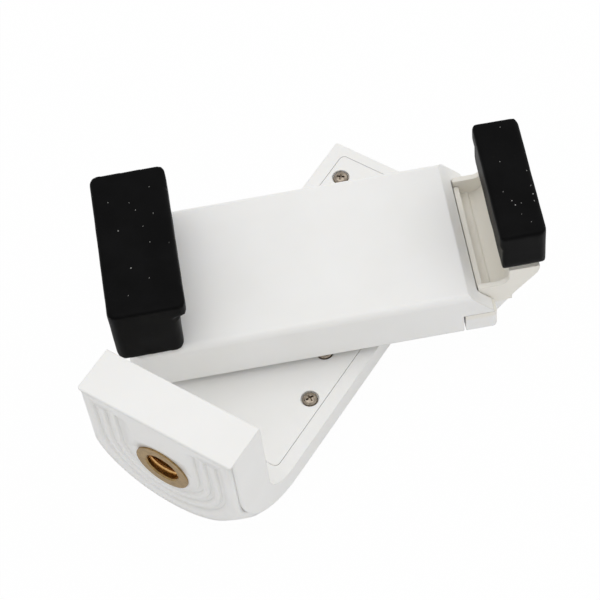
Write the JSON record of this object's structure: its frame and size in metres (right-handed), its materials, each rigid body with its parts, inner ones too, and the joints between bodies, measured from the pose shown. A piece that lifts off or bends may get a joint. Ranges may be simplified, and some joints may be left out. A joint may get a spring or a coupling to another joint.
{
  "type": "tripod phone mount adapter",
  "caption": "Sprung phone clamp with rubber-faced jaws that swivels on an L-shaped bracket with a brass tripod thread in its foot.",
  "frame": {"origin": "middle of the brass thread's mouth, in the plane of the foot's end face", "axes": "+X across the plate, +Y along the plate from the foot to the far end, +Z out of the plate's face, which lies upwards; the part rests on the back of the plate"},
  "size_m": [0.075, 0.0849, 0.0346],
  "materials": {
    "white_plastic": "satin",
    "black_rubber": "matte",
    "screw_steel": "nickel plated",
    "spring_steel": "bright",
    "insert_brass": "turned",
    "black_nylon": "matte"
  },
  "bodies": {
    "bracket": {"bracket_frame": "white_plastic", "bracket_back_shell": "white_plastic", "bracket_cover": "white_plastic", "cover_screws": "screw_steel", "thread_insert": "insert_brass", "friction_washer": "black_nylon", "spring_washer": "spring_steel"},
    "clamp": {"clamp_housing": "white_plastic", "clamp_back_cover": "white_plastic", "case_screws": "screw_steel", "fixed_jaw_pad": "black_rubber", "retaining_washer": "screw_steel", "pivot_screw": "screw_steel", "return_spring_near": "spring_steel", "return_spring_far": "spring_steel"},
    "jaw": {"jaw_slider": "white_plastic", "moving_jaw_pad": "black_rubber"}
  },
  "joints": [
    {"name": "swivel", "type": "hinge", "parent": "bracket", "child": "clamp", "pos_m": [0, 0.0498, -0.0108], "axis": [0, 0, 1], "continuous": true},
    {"name": "jaw_slide", "type": "slide", "parent": "clamp", "child": "jaw", "axis": [0.7478, 0.6639, 0], "range_m": [0, 0.028], "stiffness_N_per_m": 250, "springref_m": -0.012, "deforming": ["return_spring_near", "return_spring_far"]}
  ]
}
